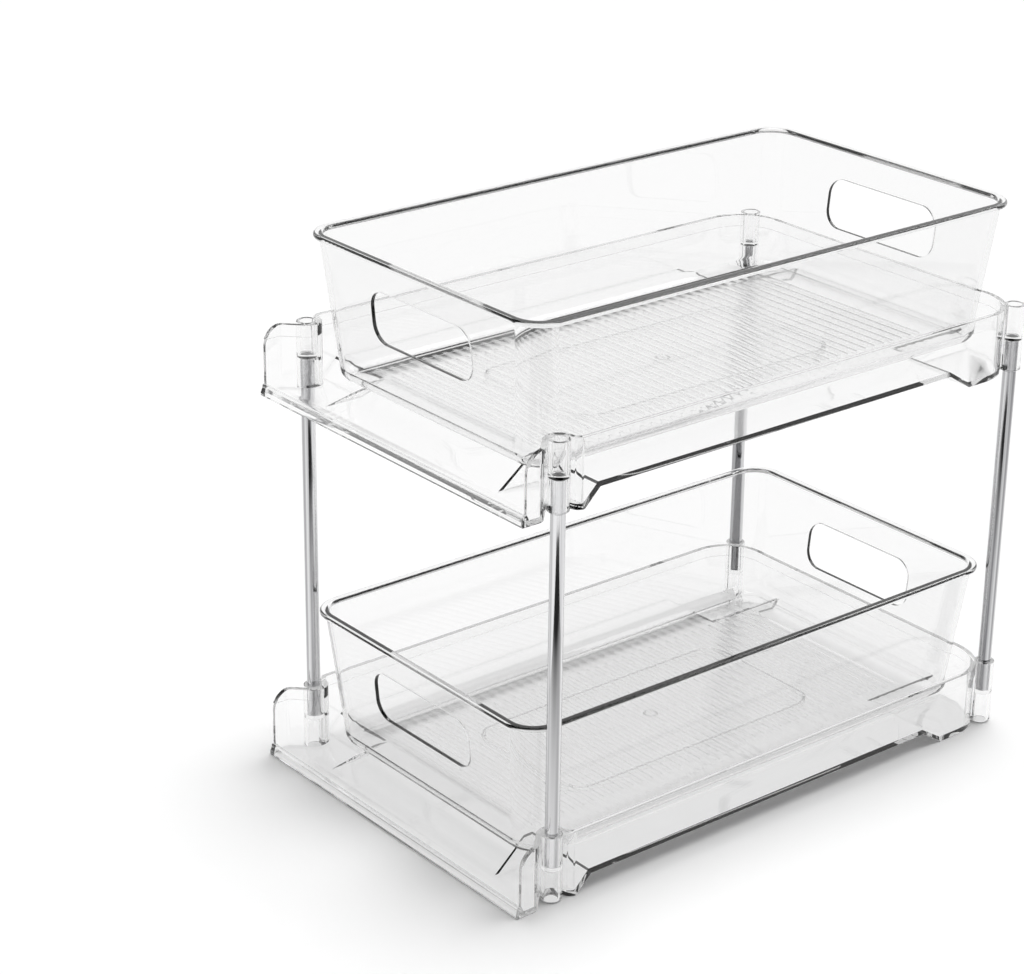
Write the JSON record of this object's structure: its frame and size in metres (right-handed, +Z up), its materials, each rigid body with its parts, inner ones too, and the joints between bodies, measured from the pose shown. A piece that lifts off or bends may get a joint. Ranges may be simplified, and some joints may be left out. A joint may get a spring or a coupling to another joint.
{
  "type": "under sink shelf",
  "caption": "Tiered under sink shelf: clear moulded trays on bright metal posts, each tray carrying a clear pull-out bin with handle slots.",
  "frame": {"origin": "middle of the whole shelf seen from above, at the ground that the lower tray stands on", "axes": "+Z up, -Y towards the front, where the bins pull out, +X to the right seen from the front"},
  "size_m": [0.188, 0.3018, 0.261],
  "materials": {
    "tray_plastic": "clear, polished",
    "bin_plastic": "clear, polished",
    "post_metal": "polished"
  },
  "bodies": {
    "shelf": {"lower_tray": "tray_plastic", "upper_tray": "tray_plastic", "front_left_post": "post_metal", "front_right_post": "post_metal", "back_left_post": "post_metal", "back_right_post": "post_metal"},
    "lower_drawer": {"lower_bin": "bin_plastic"},
    "upper_drawer": {"upper_bin": "bin_plastic"}
  },
  "joints": [
    {"name": "lower_bin_slide", "type": "slide", "parent": "shelf", "child": "lower_drawer", "axis": [0, -1, 0], "range_m": [0, 0.22]},
    {"name": "upper_bin_slide", "type": "slide", "parent": "shelf", "child": "upper_drawer", "axis": [0, -1, 0], "range_m": [0, 0.22]}
  ]
}
